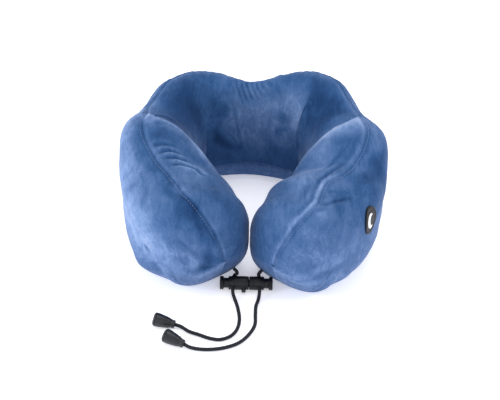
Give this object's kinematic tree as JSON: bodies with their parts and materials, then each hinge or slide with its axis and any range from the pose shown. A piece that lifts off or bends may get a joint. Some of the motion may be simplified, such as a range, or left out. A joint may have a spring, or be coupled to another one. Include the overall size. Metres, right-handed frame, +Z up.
{
  "type": "u shaped neck pillow",
  "caption": "U-shaped memory foam travel neck pillow in a sewn velour cover with a zip, arms that open, a clasp of cord locks and cords ending in bells.",
  "frame": {"origin": "middle of the footprint, on the surface that the pillow stands on, measured without the cords and their ends", "axes": "+X to the wearer's side seen on the right from the arms' tips, +Y towards the back of the neck, +Z up"},
  "size_m": [0.2764, 0.3312, 0.1282],
  "materials": {
    "velour": "short-pile velour",
    "base_cloth": "plain knitted base cloth",
    "foam": "memory foam",
    "zip_tape": "woven tape",
    "zip_coil": "nylon coil",
    "zip_metal": "dark lacquered zinc",
    "clasp_plastic": "moulded acetal",
    "spring_steel": "drawn wire",
    "cord": "braided elastic cord",
    "bell_plastic": "moulded nylon",
    "label_rubber": "soft moulded label",
    "label_print": "raised white print"
  },
  "bodies": {
    "left_side": {"foam_core_left": "foam", "cover_outer_left": "velour", "cover_inner_left": "velour", "cover_base_left": "base_cloth", "zip_tape_upper": "zip_tape", "zip_tape_lower": "zip_tape", "zip_coil": "zip_coil", "zip_stop_start": "zip_metal", "zip_stop_end": "zip_metal", "clasp_socket_body": "clasp_plastic", "lock_spring_left": "spring_steel", "cord_left": "cord", "cord_knot_left": "cord", "cord_bell_left": "bell_plastic", "cord_bell_lid_left": "bell_plastic"},
    "right_side": {"foam_core_right": "foam", "cover_outer_right": "velour", "cover_inner_right": "velour", "cover_base_right": "base_cloth", "clasp_plug_body": "clasp_plastic", "lock_spring_right": "spring_steel", "cord_right": "cord", "cord_knot_right": "cord", "cord_bell_right": "bell_plastic", "cord_bell_lid_right": "bell_plastic", "label_patch": "label_rubber", "label_crescent": "label_print"},
    "plunger_left": {"lock_plunger_left": "clasp_plastic"},
    "plunger_right": {"lock_plunger_right": "clasp_plastic"},
    "release": {"clasp_release_button": "clasp_plastic"},
    "zip_slider": {"zip_slider": "zip_metal"},
    "zip_pull": {"zip_pull_tab": "zip_metal"}
  },
  "joints": [
    {"name": "arms_open", "type": "hinge", "parent": "left_side", "child": "right_side", "pos_m": [0, 0.1342, 0], "axis": [0, 0, 1], "range_deg": [0, 32], "stiffness_Nm_per_rad": 6},
    {"name": "plunger_left_press", "type": "slide", "parent": "left_side", "child": "plunger_left", "axis": [1, 0, 0], "range_m": [0, 0.0023], "stiffness_N_per_m": 1500, "deforming": ["lock_spring_left"]},
    {"name": "plunger_right_press", "type": "slide", "parent": "right_side", "child": "plunger_right", "axis": [-1, 0, 0], "range_m": [0, 0.0023], "stiffness_N_per_m": 1500, "deforming": ["lock_spring_right"]},
    {"name": "release_press", "type": "slide", "parent": "left_side", "child": "release", "axis": [0, 0.866, 0.5], "range_m": [0, 0.0012], "stiffness_N_per_m": 1200},
    {"name": "zip_run", "type": "hinge", "parent": "left_side", "child": "zip_slider", "pos_m": [-0.058, 0.067, 0.021], "axis": [0, 0, 1], "range_deg": [-53, 0]},
    {"name": "pull_tab_turn", "type": "hinge", "parent": "zip_slider", "child": "zip_pull", "pos_m": [-0.11808, 0.09394, 0.02027], "axis": [0.1454, -0.0652, -0.9872], "range_deg": [0, 150]}
  ]
}
